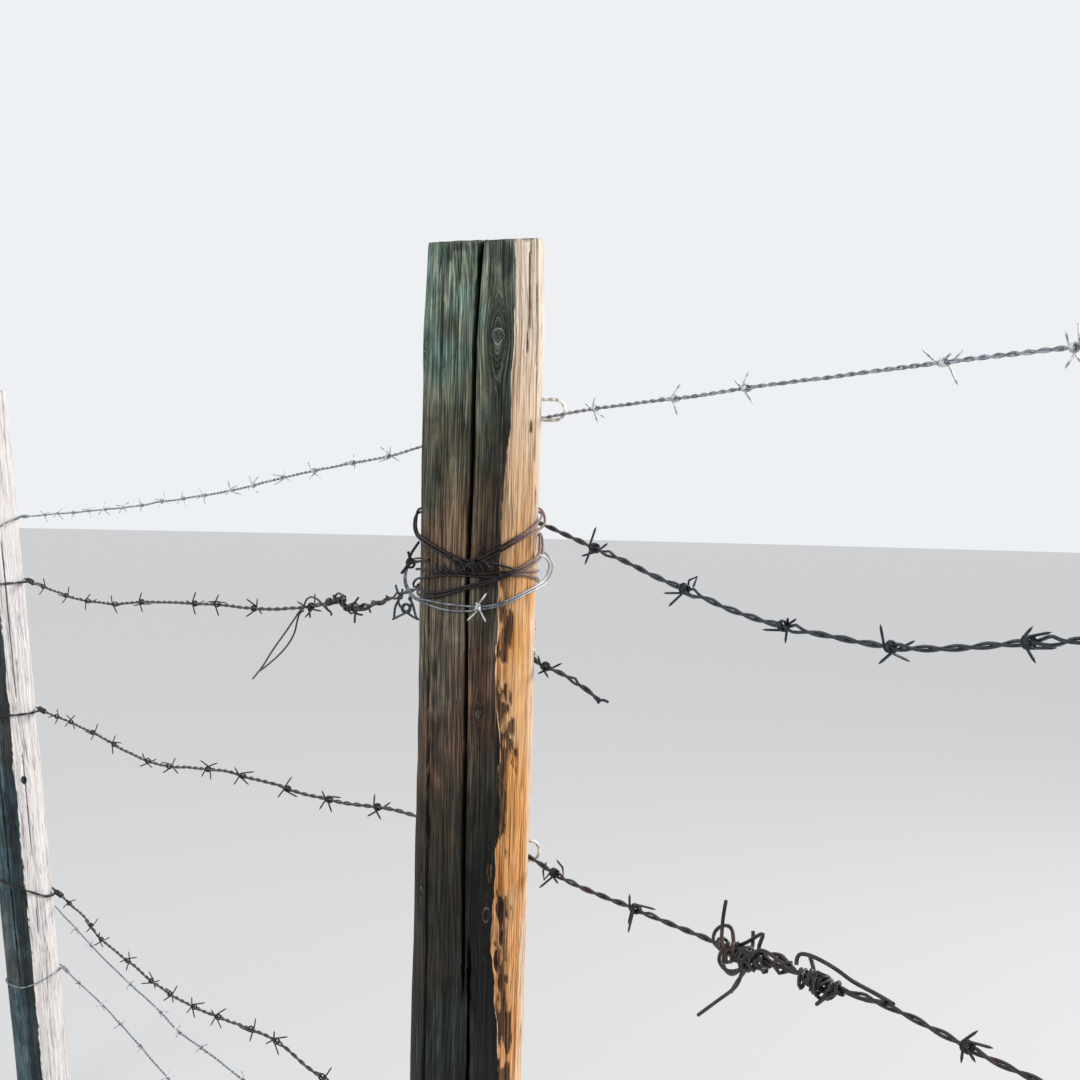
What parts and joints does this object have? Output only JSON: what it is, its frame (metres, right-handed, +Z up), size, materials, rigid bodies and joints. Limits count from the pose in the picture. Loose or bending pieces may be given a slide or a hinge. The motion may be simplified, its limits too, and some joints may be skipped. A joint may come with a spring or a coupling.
{
  "type": "barbed wire fence",
  "caption": "Weathered round timber fence posts carrying rusted barbed wire, with broken wires tied off round the middle post, twisted mends, staples and loose cut ends.",
  "frame": {"origin": "the middle of the middle post's foot, where it leaves the ground", "axes": "+X along the fence from the far post to the near post, +Y to the field side, where the wires are stapled, and +Z up"},
  "size_m": [4.1752, 0.2631, 1.4],
  "materials": {
    "weathered_timber": "weathered, cracked and dry",
    "bleached_timber": "bleached, rough and dry",
    "galvanized_wire": "dull galvanized",
    "old_wire": "weathered dark with rust",
    "staple_wire": "dull galvanized with rust"
  },
  "bodies": {
    "root": {"bent_end": "old_wire", "bottom_wire": "galvanized_wire", "bottom_wire_barbs": "galvanized_wire", "cut_tail": "old_wire", "cut_tail_barb": "old_wire", "far_bottom_tie": "galvanized_wire", "far_fourth_tie": "old_wire", "far_post": "bleached_timber", "far_post_staples": "staple_wire", "far_second_tie": "old_wire", "far_third_tie": "old_wire", "far_top_tie": "galvanized_wire", "fourth_wire": "old_wire", "fourth_wire_barbs": "old_wire", "galvanized_tie": "galvanized_wire", "galvanized_tie_barb": "galvanized_wire", "hanging_tail": "old_wire", "left_splice": "old_wire", "loose_wire": "galvanized_wire", "loose_wire_barbs": "galvanized_wire", "main_post": "weathered_timber", "main_post_staples": "staple_wire", "near_bottom_tie": "galvanized_wire", "near_fourth_tie": "old_wire", "near_post": "weathered_timber", "near_post_staples": "staple_wire", "near_second_tie": "old_wire", "near_third_tie": "old_wire", "near_top_tie": "galvanized_wire", "second_left_barbs": "old_wire", "second_left_tie": "old_wire", "second_right_barbs": "old_wire", "second_right_tie": "old_wire", "second_wire_left": "old_wire", "second_wire_right": "old_wire", "splice_coils": "old_wire", "splice_ends": "old_wire", "splice_loops": "old_wire", "stray_strand": "old_wire", "third_staple": "staple_wire", "third_wire": "old_wire", "third_wire_barbs": "old_wire", "top_staple": "staple_wire", "top_wire": "galvanized_wire", "top_wire_barbs": "galvanized_wire"}
  },
  "joints": []
}
